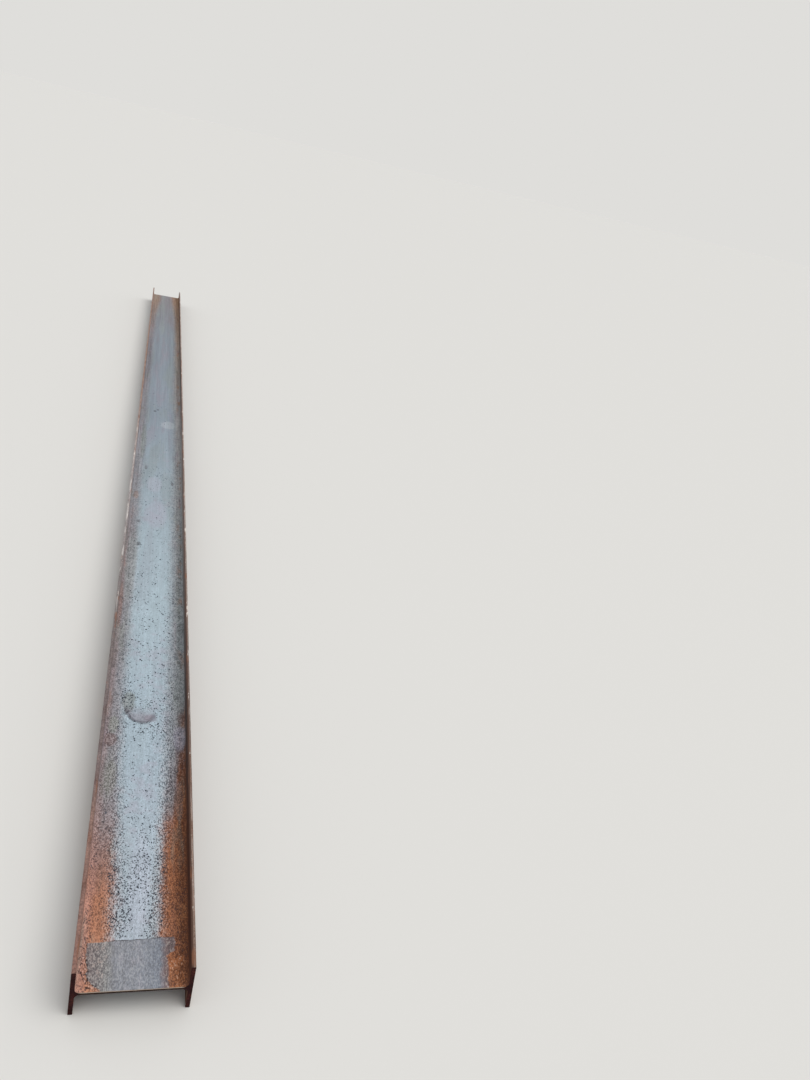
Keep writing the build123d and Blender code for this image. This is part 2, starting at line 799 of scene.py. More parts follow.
    def smear(self, web: WebBench) -> None:
        """Rubs the rounded smudge into the scale.

        Args:
            web: The material being wired.
        """
        spot = self.smudge
        side = web.y - spot.across
        leant = web.along + side * 0.25
        down = (leant - spot.along) / spot.long
        reach = web.math("SQRT", spot.reach(leant, web.y))
        reach += web.coarse * 0.4 + web.fine * 0.5
        body = web.fall(reach, 0.86, 1.0) * web.fall(down + web.coarse, -0.45, 0.4)
        mauve = web.mottled(shade(136, 127, 136), web.fine * 2.0 + web.grit * 1.5, 0.4)
        web.coat(body * 0.62, mauve)
        rim = web.band(reach, 0.84, 0.98, 0.1) * web.fall(down, -0.2, 0.35)
        rim = rim * web.slide(side / spot.wide, -1.0, 0.8, 1.0, 0.4)
        rim = rim * web.rise(web.grit + web.fine, -0.16, 0.02)
        web.coat(rim * 0.95, shade(66, 63, 72))

    def film_edges(self, web: WebBench) -> tuple[Reading, Reading, Reading]:
        """Draws the film's torn outline.

        Args:
            web: The material being wired.

        Returns:
            Distance inside the film's top edge, distance inside its left edge, and how far
            the film covers.
        """
        uneven = web.fine * (3 * MM) + web.coarse * (5 * MM)
        film = self.film
        top = film.end + web.y * 0.05 - web.along + uneven
        curl = web.slide(web.along, 0.0, 48 * MM, 1.0, 0.0)
        left = film.left + web.y - curl * curl * film.curl
        ledge = web.rise(web.along, 62 * MM, 76 * MM) * film.ledge
        lean = web.fall(web.along, 0.0, 80 * MM) * film.lean
        right = film.right + ledge + lean - web.y
        ragged = web.coarse * (20 * MM) + web.fine * (12 * MM)
        inside = web.least(top, web.least(left, right) + ragged)
        return top, left, web.rise(inside, -1.0 * MM, 1.5 * MM)

    def film_sides(self, web: WebBench) -> Reading:
        """Finds the film's two outer strips, where it is thin and the grains show through."""
        return web.most(web.fall(web.y, -48 * MM, -36 * MM), web.rise(web.y, 50 * MM, 60 * MM))

    def film_wear(self, web: WebBench) -> Reading:
        """Finds how much of the film has held, less where its sides are rubbed."""
        rubbed = self.film_sides(web) * web.rise(web.grit + web.coarse, 0.06, 0.18)
        return web.between(rubbed, 0.98, 0.8)

    def film_grey(self, web: WebBench) -> Reading:
        """Colours the film.

        Args:
            web: The material being wired.

        Returns:
            The film's colour.
        """
        grey = web.ramp(
            web.slide(web.y + web.coarse * (20 * MM), -80 * MM, 80 * MM, 0.0, 1.0),
            (0.06, 132, 124, 124), (0.22, 138, 138, 138), (0.30, 137, 139, 146),
            (0.55, 139, 142, 150), (0.77, 127, 133, 144), (0.84, 124, 106, 106),
        )
        pale = web.rise(web.grain((20, 60, 60), 52.0, 3.0, 0.6), 0.0, 0.16)
        pale = pale * web.band(web.y, -30 * MM, 10 * MM, 14 * MM)
        grey = web.blend(pale * 0.55, grey, shade(166, 164, 172))
        sides = self.film_sides(web)
        total = web.coarse * 0.5
        for part, in_middle, at_sides in (
            (web.streak, 0.40, 0.15),
            (web.stripe, 0.20, 0.20),
            (web.fine, 0.90, 1.10),
            (web.grit, 0.80, 1.10),
        ):
            total += part * web.between(sides, in_middle, at_sides)
        grey = web.mottled(grey, total, 0.4)
        dusty = web.grit * 0.6 + web.crumb * 0.7
        soot = web.rise(-dusty, 0.02, 0.08) * web.between(sides, 0.25, 0.6)
        grey = web.blend(soot, grey, shade(80, 76, 80))
        chalk = web.rise(dusty, 0.03, 0.09) * web.between(sides, 0.25, 0.5)
        return web.blend(chalk, grey, shade(190, 188, 184))

    def film_shadow_and_marks(self, web: WebBench, top: Reading, left: Reading) -> None:
        """Paints a thin shadow along the film's top edge, as its raised step would cast, and breaks up its
        left edge with dark marks.

        Args:
            web: The material being wired.
            top: Distance inside the film's top edge.
            left: Distance inside its left edge.
        """
        # Painted shadow of the film's step along its top edge, broken up by noise
        film_step_shadow = web.band(top, -0.5 * MM, 0.4 * MM, 0.8 * MM) * web.rise(web.coarse, -0.22, -0.02)
        film_step_shadow = film_step_shadow * web.band(web.y, -37 * MM, 44 * MM, 3 * MM)
        split = left + (web.coarse * (34 * MM) + web.fine * (8 * MM))
        inner_mark = web.band(split, -0.8 * MM, 0.6 * MM, 1.0 * MM)
        marks = web.most(inner_mark, web.band(split, -8.4 * MM, -7.2 * MM, 0.8 * MM))
        marks = marks * web.band(web.along, 8 * MM, 94 * MM, 3 * MM)
        marks = marks * web.rise(web.grain((150, 110, 110), 63.0, 2.0, 0.6), -0.06, 0.02)
        # Lays the painted shadow and the dark marks of the left edge
        web.coat(web.most(film_step_shadow, marks) * 0.9, shade(48, 38, 42))
        gap = web.band(split, -5.5 * MM, -3.5 * MM, 1.2 * MM) * web.rise(web.crumb, 0.02, 0.1)
        gap = gap * web.band(web.along, 8 * MM, 110 * MM, 8 * MM)
        web.coat(gap * 0.7, shade(212, 184, 176))

    def scratch(self, web: WebBench) -> None:
        """Brightens and scratches the rust beside the film's right edge.

        Args:
            web: The material being wired.
        """
        bright = web.band(web.y, 62 * MM, 82 * MM, 6 * MM) * web.fall(web.along, 58 * MM, 80 * MM)
        bright = bright * web.rise(web.coarse + web.fine, -0.12, 0.12)
        web.coat(bright * 0.6, shade(184, 116, 74))
        nick = web.rise(web.grit, 0.08, 0.13) * bright
        web.coat(nick * 0.8, shade(222, 192, 172))


@dataclass(frozen=True)
class UndersideFinish(Finish):
    """The lower channel: duller scale with broad rust, as stock that lay on damp ground."""

    def build(self) -> bpy.types.Material:
        """Wires the material.

        Returns:
            The finished material.
        """
        bench = Bench("underside_scale_and_rust")
        out = abs(bench.y) + bench.most(self.section.web_under - bench.z, 0.0)
        grit = bench.grain((300, 300, 300), 101.0, 2.0, 0.65)
        fine = bench.grain((210, 210, 210), 103.0, 3.0, 0.7)
        coarse = bench.grain((30, 30, 30), 107.0, 4.0, 0.6)
        wide = bench.grain((2.0, 8.0, 8.0), 111.0, 3.0, 0.55)
        streak = bench.grain((1.6, 90, 90), 115.0, 3.0, 0.6)
        past = out + (wide * (70 * MM) + fine * (30 * MM)) + coarse * (24 * MM)
        rusted = bench.rise(past, 44 * MM, 60 * MM)
        scale = bench.mottled(shade(124, 134, 143), streak * 0.5 + fine + grit * 0.8, 0.3)
        rust = bench.ramp(
            0.5 + (coarse + fine + grit * 0.6),
            (0.22, 76, 48, 38), (0.5, 118, 78, 56), (0.78, 152, 102, 68),
        )
        bench.colour = bench.blend(rusted, scale, rust)
        pits = bench.rise(grit + coarse * 0.3, 0.07, 0.13)
        bench.coat(pits * 0.7, shade(62, 52, 52))
        walls = bench.mottled(shade(92, 66, 54), streak + coarse + fine * 1.2, 0.3)
        bench.coat(bench.rise(out, 92 * MM, 106 * MM) * 0.8, walls)
        relief = fine * bench.between(rusted, 0.3, 0.8) + coarse * 0.35
        return bench.finish(bench.between(rusted, 0.6, 0.9), relief, 0.3)


@dataclass(frozen=True)
class FlangeFinish(Finish):
    """The outer faces of the flanges: streaked scale that rusts from the toes inward."""

    def build(self) -> bpy.types.Material:
        """Wires the material.

        Returns:
            The finished material.
        """
        bench = Bench("flange_scale_and_rust")
        grit = bench.grain((300, 300, 300), 201.0, 2.0, 0.65)
        fine = bench.grain((210, 210, 210), 203.0, 3.0, 0.7)
        coarse = bench.grain((26, 26, 34), 207.0, 4.0, 0.6)
        wide = bench.grain((1.4, 5.0, 9.0), 211.0, 4.0, 0.55)
        streak = bench.grain((1.3, 60, 150), 215.0, 4.0, 0.6)
        scratch = bench.grain((5.0, 60, 330), 219.0, 3.0, 0.65)
        ragged = wide * (60 * MM) + fine * (20 * MM) + coarse * (24 * MM)
        past = abs(bench.z - self.section.flange_width / 2) + ragged
        rusted = bench.rise(past, 30 * MM, 46 * MM)
        scale = bench.blend(bench.rise(wide + streak, -0.1, 0.2), shade(124, 122, 128), shade(122, 106, 106))
        scale = bench.mottled(scale, streak * 0.9 + fine * 1.2 + grit, 0.3)
        rust = bench.ramp(
            0.5 + (coarse + fine + streak * 0.5),
            (0.2, 72, 46, 36), (0.45, 112, 74, 54), (0.65, 142, 94, 62), (0.85, 158, 116, 88),
        )
        bench.colour = bench.blend(rusted, scale, rust)
        dark = bench.rise(scratch + streak * 0.4, 0.05, 0.13)
        bench.coat(dark * 0.6, shade(66, 50, 48))
        light = bench.rise(-scratch, 0.12, 0.18)
        bench.coat(light * 0.45, shade(172, 160, 156))
        relief = fine * bench.between(rusted, 0.3, 0.8) + coarse * 0.3
        return bench.finish(bench.between(rusted, 0.6, 0.9), relief, 0.3)


@dataclass(frozen=True)
class ToeFinish(Finish):
    """The toes: rubbed paler than the faces beside them, with bright chips in places."""

    def build(self) -> bpy.types.Material:
        """Wires the material.

        Returns:
            The finished material.
        """
        bench = Bench("worn_toe")
        section = self.section
        fine = bench.grain((190, 240, 240), 303.0, 3.0, 0.7)
        patch = bench.grain((18, 60, 60), 307.0, 4.0, 0.65)
        long = bench.grain((2.4, 120, 60), 311.0, 3.0, 0.6)
        share = (section.half_length - bench.x + long * 0.3) / (2 * section.half_length)
        on_right = bench.rise(bench.y, -MM, MM)
        left = bench.ramp(
            share,
            (0.0, 131, 98, 88), (0.06, 134, 107, 98), (0.09, 114, 100, 99),
            (0.19, 116, 109, 108), (0.34, 160, 153, 153), (0.56, 150, 125, 113),
        )
        right = bench.ramp(
            share,
            (0.0, 127, 107, 95), (0.03, 136, 112, 98), (0.075, 122, 97, 84),
            (0.11, 112, 97, 90), (0.24, 136, 122, 115), (0.60, 154, 135, 126),
        )
        tint = bench.ramp(
            0.5 + (patch + fine * 0.6),
            (0.28, 160, 146, 140), (0.5, 188, 188, 188), (0.72, 214, 211, 208),
        )
        tan = bench.blend(1.0, bench.blend(on_right, left, right), bench.scaled(tint, 2.0), "MULTIPLY")
        bench.colour = bench.mottled(tan, fine * 1.4, 0.4)

        # The rubbed strip wanders, and on the right toe it is narrower by the near end
        core = bench.slide(share * on_right, 0.08, 0.25, 1.5 * MM, 1.8 * MM)
        off = abs(bench.y) - (section.half_depth - section.flange / 2)
        worn = abs(off - core) + (fine * (3 * MM) + patch * (4 * MM))
        wider = bench.between(on_right, 1.0 * MM, 0.0)
        wider += bench.slide(share * on_right, 0.15, 0.25, 0.0, 1.0 * MM)
        rubbed = bench.fall(worn - wider, 1.1 * MM, 2.3 * MM)
        edge = (1.0 - rubbed) * bench.between(on_right, 0.15, 0.9)
        bench.coat(edge, shade(74, 48, 36))
        rust = bench.rise(bench.grain((12, 70, 70), 317.0, 3.0, 0.6), 0.06, 0.18)
        bench.coat(rust * 0.6, shade(130, 84, 58))
        far_left = bench.band(share, 0.22, 0.44, 0.04)
        chips = bench.rise(bench.grain((22, 110, 110), 331.0, 3.0, 0.6), 0.09, 0.15)
        chips = chips * bench.most(on_right, far_left) * rubbed
        bench.coat(chips * 0.85, shade(222, 212, 204))
        bright = bench.rise(bench.grain((8, 50, 50), 337.0, 2.0, 0.6), 0.0, 0.1) * rubbed
        bright = bright * bench.between(on_right, far_left, 0.3)
        bench.coat(bright * 0.6, shade(208, 202, 198))
        return bench.finish(0.8 - chips * 0.35, fine * 0.5 + patch * 0.5, 0.35)


@dataclass(frozen=True)
class CutEndFinish(Finish):
    """The cut ends: raw steel gone dark maroon, with the blade's marks still in it."""

    def build(self) -> bpy.types.Material:
        """Wires the material.

        Returns:
            The finished material.
        """
        bench = Bench("rusted_cut")
        fine = bench.grain((260, 300, 300), 403.0, 3.0, 0.7)
        coarse = bench.grain((60, 60, 60), 407.0, 4.0, 0.6)
        kerf = bench.grain((60, 30, 620), 411.0, 2.0, 0.5)
        rust = bench.ramp(
            0.5 + (coarse + fine),
            (0.2, 29, 11, 12), (0.5, 47, 19, 20), (0.72, 72, 34, 30), (0.9, 106, 58, 42),
        )
        on_web = bench.fall(abs(bench.y), 80 * MM, 88 * MM)
        olive = bench.scaled(shade(54, 46, 38), 1.0 + (coarse + fine))
        bench.colour = bench.blend(on_web * 0.55, bench.scaled(rust, 1.0 + kerf * 1.2), olive)
        # A pale line along the top of the web's cut: partly a burr, partly a painted highlight on the cut's
        # edge
        below = self.section.web_top - bench.z + fine * (1.5 * MM)
        burr_and_highlight = on_web * bench.fall(below, 1.1 * MM, 2.1 * MM)
        bench.coat(burr_and_highlight * 0.85, shade(198, 182, 166))
        return bench.finish(0.85, kerf * 0.6 + (coarse * 0.5 + fine * 0.4), 0.12)


@dataclass(frozen=True)
class BlisterFinish:
    """The rust blisters: nearly black, and greyer where they have been rubbed."""

    def build(self) -> bpy.types.Material:
        """Wires the material.

        Returns:
            The finished material.
        """
        bench = Bench("black_blister")
        fine = bench.grain((500, 500, 500), 503.0, 2.0, 0.6)
        tone = bench.grain((90, 90, 90), 507.0, 2.0, 0.5)
        bench.colour = bench.ramp(
            0.5 + (tone + fine * 0.5),
            (0.25, 44, 49, 57), (0.55, 62, 68, 78), (0.8, 90, 88, 92),
        )
        return bench.finish(0.75, fine * 0.2, 0.3)


@dataclass(frozen=True)
class Dent:
    """A knock on the edge of a toe.

    Attributes:
        place: Its middle.
        long: Its half length along the beam.
        deep: How far it pushes the edge in.
        wide: Its half width across and up.
    """

    place: Vector
    long: float
    deep: float
    wide: ClassVar[float] = 3.5 * MM

    def push(self, here: Vector) -> float:
        """Finds how far the dent pushes a point in.

        Args:
            here: The point.

        Returns:
            The distance, 0 outside the dent.
        """
        off = here - self.place
        reach = math.hypot(off.x / self.long, off.y / self.wide, off.z / self.wide)
        return self.deep * (1 - reach * reach) ** 2 if reach < 1 else 0.0


@dataclass(frozen=True)
class UvRows:
    """Where each zone's rows lie on the texture. A long face is folded into several.

    Attributes:
        section: The beam's section.
        margin: Gap left between rows.
        rows: Each zone's number of folds, its first row's place and a row's height.
    """

    section: Section
    margin: float = 0.002

    rows: ClassVar[dict[Zone, tuple[int, float, float]]] = {
        Zone.CHANNEL_TOP: (4, 0.0, 0.175),
        Zone.CHANNEL_UNDER: (2, 0.70, 0.064),
        Zone.FLANGE: (2, 0.828, 0.028),
        Zone.TOE: (1, 0.94, 0.008),
        Zone.CUT_END: (1, 0.972, 0.028),
    }

    def lane(self, zone: Zone, here: Vector) -> float:
        """Finds how far across its own row a corner lies.

        Args:
            zone: The face's finish.
            here: The corner's place.

        Returns:
            The share of the row, from 0 to 1.
        """
        section = self.section
        if zone is Zone.TOE:
            return climb(abs(here.y), section.inner, section.half_depth)
        if zone in (Zone.FLANGE, Zone.CUT_END):
            return climb(here.z, 0, section.flange_width)
        up = max(here.z - section.web_top, section.web_under - here.z, 0)
        span = section.inner + section.web_under
        return climb(here.y + math.copysign(up, here.y), -span, span)

    def place(
        self, zone: Zone, centre: Vector, here: Vector, share: float, middle: float
    ) -> tuple[float, float]:
        """Finds the texture place of one corner.

        Args:
            zone: The face's finish.
            centre: The face's centre, which settles its row.
            here: The corner's place.
            share: The corner's share of the slices.
            middle: The centre's share of the slices.

        Returns:
            The place on the texture, each from 0 to 1.
        """
        folds, base, height = self.rows[zone]
        fold = min(int(middle * folds), folds - 1)
        side = share * folds - fold
        row = fold
        if zone is Zone.FLANGE:
            row += 2 * (centre.y > 0)
        elif zone is Zone.TOE:
            row += (centre.y > 0) + 2 * (centre.z > self.section.flange_width / 2)
        elif zone is Zone.CUT_END:
            side = 0.02 + 0.5 * (centre.x > 0) + 0.22 * (here.y / self.section.half_depth + 1)
        low = base + row * height + self.margin / 2
        return side, low + (height - self.margin) * self.lane(zone, here)


@dataclass
class RolledBeam:
    """The beam: one closed mesh with its section, worn toes and cut ends.

    Attributes:
        section: The beam's section.
        slices: How many slices the length has.
        crowding: How much thinner the slices are at the ends.
        pitch: Largest step of the grid across web and flanges.
        root_steps: Facets round each root.
        toe_steps: Facets round each edge of a toe.
        dents: How many dents there are on the toes.
        dent_length: The shortest and the longest dent's half length.
        dent_depth: The shallowest and the deepest dent.
        loss: How far rust has eaten into the faces on the whole.
        rolling: Height of the slow waves from the rolls.
        scaling: Height of the small bumps of rust and scale.
        cut_loss: About how far the ragged cut stands back.
        seed: Start of the random draws.
    """

    section: Section
    slices: int = 480
    crowding: float = 0.62
    pitch: float = 7.0 * MM
    root_steps: int = 8
    toe_steps: int = 4
    dents: int = 260
    dent_length: tuple[float, float] = (6 * MM, 26 * MM)
    dent_depth: tuple[float, float] = (0.3 * MM, 1.1 * MM)
    loss: float = 0.10 * MM
    rolling: float = 0.16 * MM
    scaling: float = 0.14 * MM
    cut_loss: float = 0.35 * MM
    seed: int = 11

    def build(self) -> bpy.types.Object:
        """Makes the mesh, dresses it and puts it in the solid's place.

        Returns:
            The beam's piece.
        """
        shape = bmesh.new()
        self.roll(shape)
        self.round_edges(shape)
        self.divide(shape)
        self.slice(shape)
        self.zone(shape)
        self.wear(shape)
        self.unroll(shape)
        for face in shape.faces:
            face.smooth = face.material_index != Zone.CUT_END
        kinds = (ChannelFinish, UndersideFinish, FlangeFinish, ToeFinish, CutEndFinish)
        piece = make_piece("rolled_beam", shape, [kind(self.section).build() for kind in kinds])
        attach(piece, BODY)
        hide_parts(NODE)
        return piece

    def roll(self, shape: bmesh.types.BMesh) -> None:
        """Draws the sharp section and draws it out to the full length.

        Args:
            shape: The empty shape.
        """
        section = self.section
        depth, inner, width = section.half_depth, section.inner, section.flange_width
        under, top = section.web_under, section.web_top
        corners = [
            (-depth, 0), (-inner, 0), (-inner, under), (inner, under), (inner, 0), (depth, 0),
            (depth, width), (inner, width), (inner, top), (-inner, top), (-inner, width), (-depth, width),
        ]
        ring = [shape.verts.new((-section.half_length, across, up)) for across, up in corners]
        drawn = bmesh.ops.extrude_face_region(shape, geom=[shape.faces.new(ring)])
        moved = [item for item in drawn["geom"] if isinstance(item, bmesh.types.BMVert)]
        bmesh.ops.translate(shape, verts=moved, vec=(2 * section.half_length, 0, 0))
        bmesh.ops.recalc_face_normals(shape, faces=shape.faces[:])

    def round_edges(self, shape: bmesh.types.BMesh) -> None:
        """Rounds the lengthwise edges, first at the four roots and then at the toes.

        Args:
            shape: The beam so far.
        """
        section = self.section
        middle = section.flange_width / 2
        for radius, steps, lowest, highest in (
            (section.root, self.root_steps, 0.0, section.web),
            (section.toe, self.toe_steps, middle - MM, middle + MM),
        ):
            edges = []
            for edge in shape.edges:
                off_web = abs(edge.verts[0].co.z - middle)
                if edge.calc_length() > section.half_length and lowest <= off_web < highest:
                    edges.append(edge)
            bmesh.ops.bevel(
                shape, geom=edges, offset=radius, offset_type="OFFSET", affect="EDGES",
                segments=steps, profile=0.5, material=-1,
            )

    def divide(self, shape: bmesh.types.BMesh) -> None:
        """Cuts the web and the flanges into narrow strips along the beam.

        Args:
            shape: The beam so far.
        """
        section = self.section
        across, up = Vector((0, 1, 0)), Vector((0, 0, 1))
        flat = section.inner - section.root
        steps = math.ceil(2 * flat / self.pitch)
        levels = [(across, -flat + 2 * flat * step / steps) for step in range(steps + 1)]
        rise = section.web_under - section.root - section.toe
        steps = math.ceil(rise / self.pitch)
        for step in range(steps + 1):
            height = section.toe + rise * step / steps
            levels += [(up, height), (up, section.flange_width - height)]
        for normal, distance in levels:
            everything = shape.verts[:] + shape.edges[:] + shape.faces[:]
            bmesh.ops.bisect_plane(
                shape, geom=everything, dist=1e-6, plane_co=normal * distance, plane_no=normal
            )

    def slice(self, shape: bmesh.types.BMesh) -> None:
        """Cuts the length into slices, thin at the ends and thicker between them.

        Args:
            shape: The beam so far.
        """
        half = self.section.half_length
        long_edges = [edge for edge in shape.edges if edge.calc_length() > half]
        bmesh.ops.subdivide_edges(shape, edges=long_edges, cuts=self.slices - 1, use_grid_fill=True)
        for vert in shape.verts:
            vert.co.x = half * (2 * self.crowd((vert.co.x / half + 1) / 2) - 1)

    def crowd(self, share: float) -> float:
        """Turns a share of the slices into a share of the length, crowded at both ends."""
        return share - self.crowding * math.sin(2 * math.pi * share) / (2 * math.pi)

    def share_of(self, along: float) -> float:
        """Turns a place on the beam back into a share of the slices.

        Args:
            along: The place on the X axis.

        Returns:
            The share of the slices behind it, found by Newton's method.
        """
        goal = (along / self.section.half_length + 1) / 2
        share = goal
        for _ in range(6):
            slope = 1 - self.crowding * math.cos(2 * math.pi * share)
            share -= (self.crowd(share) - goal) / slope
        return share

    def zone(self, shape: bmesh.types.BMesh) -> None:
        """Gives each face its finish by where it lies and which way it looks.

        Args:
            shape: The beam so far.
        """
        section = self.section
        shape.normal_update()
        for face in shape.faces:
            centre = face.calc_center_median()
            if abs(face.normal.x) > 0.9:
                face.material_index = Zone.CUT_END
            elif min(centre.z, section.flange_width - centre.z) < section.toe:
                face.material_index = Zone.TOE
            elif abs(centre.y) > section.half_depth - MM:
                face.material_index = Zone.FLANGE
            elif centre.z > section.flange_width / 2:
                face.material_index = Zone.CHANNEL_TOP
            else:
                face.material_index = Zone.CHANNEL_UNDER

    def draw_dents(self) -> list[Dent]:
        """Draws the dents on the edges of the toes.

        Returns:
            The dents in order along the beam.
        """
        section = self.section
        draw = random.Random(self.seed)
        dents = []
        for _ in range(self.dents):
            along = draw.uniform(-1, 1) * section.half_length
            across = draw.choice((-1, 1)) * draw.choice((section.inner, section.half_depth))
            place = Vector((along, across, draw.choice((0, 1)) * section.flange_width))
            dents.append(Dent(place, draw.uniform(*self.dent_length), draw.uniform(*self.dent_depth)))
        return sorted(dents, key=lambda dent: dent.place.x)

    def eaten(self, here: Vector) -> float:
        """Finds how far rolling and rust have set a face back.

        Args:
            here: A point of the face.

        Returns:
            The distance, never less than 0.
        """
        set_back = self.loss + self.rolling * bumps(here, 1.7, 6) + self.scaling * bumps(here, 55, 55, 9)
        return max(set_back, 0.0)

    def ragged(self, here: Vector) -> float:
        """Finds how far the cut stands back at a point."""
        return self.cut_loss * (0.8 + bumps(here, 1, 130) + 0.5 * bumps(here, 1, 420))

    def wear(self, shape: bmesh.types.BMesh) -> None:
        """Adds the unevenness of rolling and rust, the dents and the ragged cuts.

        Args:
            shape: The beam so far.
        """
        section = self.section
        dents = self.draw_dents()
        places = [dent.place.x for dent in dents]
        longest = self.dent_length[1]
        for vert in shape.verts:
            here = vert.co.copy()
            vert.co -= vert.normal * self.eaten(here)
            if min(here.z, section.flange_width - here.z) < 2 * section.toe:
                near = dents[bisect_left(places, here.x - longest):bisect_left(places, here.x + longest)]
                core = math.copysign(section.half_depth - section.flange / 2, here.y)
                inward = Vector((0, core - here.y, section.flange_width / 2 - here.z))
                vert.co += inward.normalized() * sum(dent.push(here) for dent in near)
            if section.half_length - abs(here.x) < 0.5 * MM:
                vert.co.x -= math.copysign(self.ragged(here), here.x)

            # Nothing leaves the solid's box
            vert.co.x = max(-section.half_length, min(section.half_length, vert.co.x))
            vert.co.y = max(-section.half_depth, min(section.half_depth, vert.co.y))
            vert.co.z = max(0.0, min(section.flange_width, vert.co.z))

    def unroll(self, shape: bmesh.types.BMesh) -> None:
        """Lays the faces out flat in rows, so that a texture keeps fine detail.

        Args:
            shape: The finished beam.
        """
        layer = shape.loops.layers.uv.new("OFBake")
        rows = UvRows(self.section)
        for face in shape.faces:
            zone = Zone(face.material_index)
            centre = face.calc_center_median()
            middle = self.share_of(centre.x)
            for loop in face.loops:
                here = loop.vert.co
                loop[layer].uv = rows.place(zone, centre, here, self.share_of(here.x), middle)


@dataclass(frozen=True)
class Clump(Spot):
    """A place on the web where blisters crowd, or keep away.

    Attributes:
        strength: How much it adds to the crowding.
    """

    strength: float

    def pull(self, along: float, across: float) -> float:
        """Gives what the clump adds at a place."""
        return self.strength * math.exp(-self.reach(along, across))


@dataclass(frozen=True)
class Stretch:
    """A stretch of the web and how thickly blisters lie on it.

    Attributes:
        start: Where it begins, from the near end.
        end: Where it ends.
        share: Square millimetres of web to each try at a blister.
    """

    start: float
    end: float
    share: float


@dataclass
class RustBlisters:
    """The small dark blisters on top of the web, joined into one mesh.

    Attributes:
        section: The beam's section.
        sides: Corners round each blister.
        kinds: How many different outlines there are.
        half_width: How far from the middle line blisters are tried.
        usual: The usual blister's half width.
        spread: How much their sizes differ.
        largest: The largest half width by the near end.
        seed: Start of the random draws.
        stretches: How thickly they lie, stretch by stretch.
        clumps: Where they crowd.
    """

    section: Section
    sides: int = 8
    kinds: int = 14
    half_width: float = 66 * MM
    usual: float = 1.05 * MM
    spread: float = 0.40
    largest: float = 2.4 * MM
    seed: int = 29

    stretches: ClassVar[tuple[Stretch, ...]] = (
        Stretch(0.104, 0.130, 60),
        Stretch(0.130, 0.300, 17),
        Stretch(0.300, 0.600, 54),
        Stretch(0.600, 1.000, 62),
        Stretch(0.655, 0.725, 45),
        Stretch(0.765, 0.860, 80),
        Stretch(1.000, 1.500, 80),
        Stretch(1.500, 2.400, 190),
        Stretch(2.400, 3.600, 900),
    )
    clumps: ClassVar[tuple[Clump, ...]] = (
        Clump(0.16, -0.022, 0.06, 0.015, 1.0),
        Clump(0.15, 0.020, 0.05, 0.010, 0.6),
        Clump(0.13, 0.004, 0.05, 0.012, -1.0),
        Clump(0.30, -0.012, 0.05, 0.020, 0.3),
        Clump(0.25, 0.034, 0.09, 0.011, 0.7),
        Clump(0.45, -0.020, 0.06, 0.030, -0.3),
        Clump(0.69, 0.020, 0.022, 0.026, 2.0),
        Clump(0.60, 0.000, 0.04, 0.040, -0.4),
        Clump(0.80, 0.000, 0.04, 0.044, 0.5),
        Clump(0.82, -0.040, 0.05, 0.014, 1.0),
        Clump(1.05, 0.010, 0.09, 0.034, 0.4),
        Clump(1.34, -0.042, 0.02, 0.010, 1.0),
        Clump(1.86, -0.054, 0.02, 0.012, 1.0),
        Clump(1.78, 0.006, 0.04, 0.012, 1.0),
        Clump(2.28, 0.018, 0.06, 0.040, 1.0),
        Clump(3.14, -0.020, 0.03, 0.014, 1.0),
    )

    def build(self) -> bpy.types.Object:
        """Scatters the blisters and joins them.

        Returns:
            The blisters' piece.
        """
        draw = random.Random(self.seed)
        shapes = [self.blister(draw) for _ in range(self.kinds)]
        joined = bmesh.new()
        for along, across, length, width, turn in self.places(draw):
            kind = draw.choice(shapes).copy()
            place = Matrix.Translation((self.section.half_length - along, across, self.section.web_top))
            size = Matrix.Diagonal((length, width, max(0.5 * MM, 0.7 * width), 1))
            kind.transform(place @ Matrix.Rotation(turn, 4, "Z") @ size)
            joined.from_mesh(kind)
            bpy.data.meshes.remove(kind)
        for shape in shapes:
            bpy.data.meshes.remove(shape)
        piece = make_piece("rust_blisters", joined, [BlisterFinish().build()])
        piece.data.shade_smooth()
        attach(piece, BODY)
        return piece

    def blister(self, draw: random.Random) -> bpy.types.Mesh:
        """Makes one blister of radius 1: a closed low dome with an uneven outline.

        Its foot reaches 1 below the web and its crown almost half as far above it.

        Args:
            draw: The random draws.

        Returns:
            The blister's mesh.
        """
        shape = bmesh.new()
        bmesh.ops.create_cone(shape, cap_ends=True, segments=self.sides, radius1=1.0, radius2=0.84, depth=1.2)
        bmesh.ops.translate(shape, verts=shape.verts[:], vec=(0, 0, -0.4))
        crown = max(shape.faces, key=lambda face: face.calc_center_median().z)
        bmesh.ops.inset_region(shape, faces=[crown], thickness=0.36, use_even_offset=False)
        for vert in crown.verts:
            vert.co.z += 0.24
        pulls = [draw.uniform(0.62, 1.0) for _ in range(self.sides)]
        for vert in shape.verts:
            turn = math.atan2(vert.co.y, vert.co.x) / (2 * math.pi)
            pull = pulls[round(turn * self.sides) % self.sides]
            vert.co.x *= pull
            vert.co.y *= pull
        bmesh.ops.recalc_face_normals(shape, faces=shape.faces[:])
        mesh = bpy.data.meshes.new("blister")
        shape.to_mesh(mesh)
        shape.free()
        return mesh

    def places(self, draw: random.Random) -> list[tuple[float, float, float, float, float]]:
        """Draws each blister's place, half sizes and turn.

        Args:
            draw: The random draws.

        Returns:
            Along, across, half length, half width and turn of each blister.
        """
        found = []
        for stretch in self.stretches:
            area = (stretch.end - stretch.start) * 2 * self.half_width / MM ** 2
            for _ in range(round(area / stretch.share)):
                along = draw.uniform(stretch.start, stretch.end)
                across = draw.uniform(-self.half_width, self.half_width)
                if draw.random() > self.crowd(along, across):
                    continue
                away = climb(along, 0.4, 1.2)
                width = min(draw.lognormvariate(math.log(self.usual), self.spread), self.largest)
                width *= 1.0 + 0.4 * away
                length = width * draw.uniform(1.0, 1.7) * (1.0 - 0.2 * away)
                found.append((along, across, length, width, draw.gauss(0.0, 0.7 - 0.5 * away)))
        return found

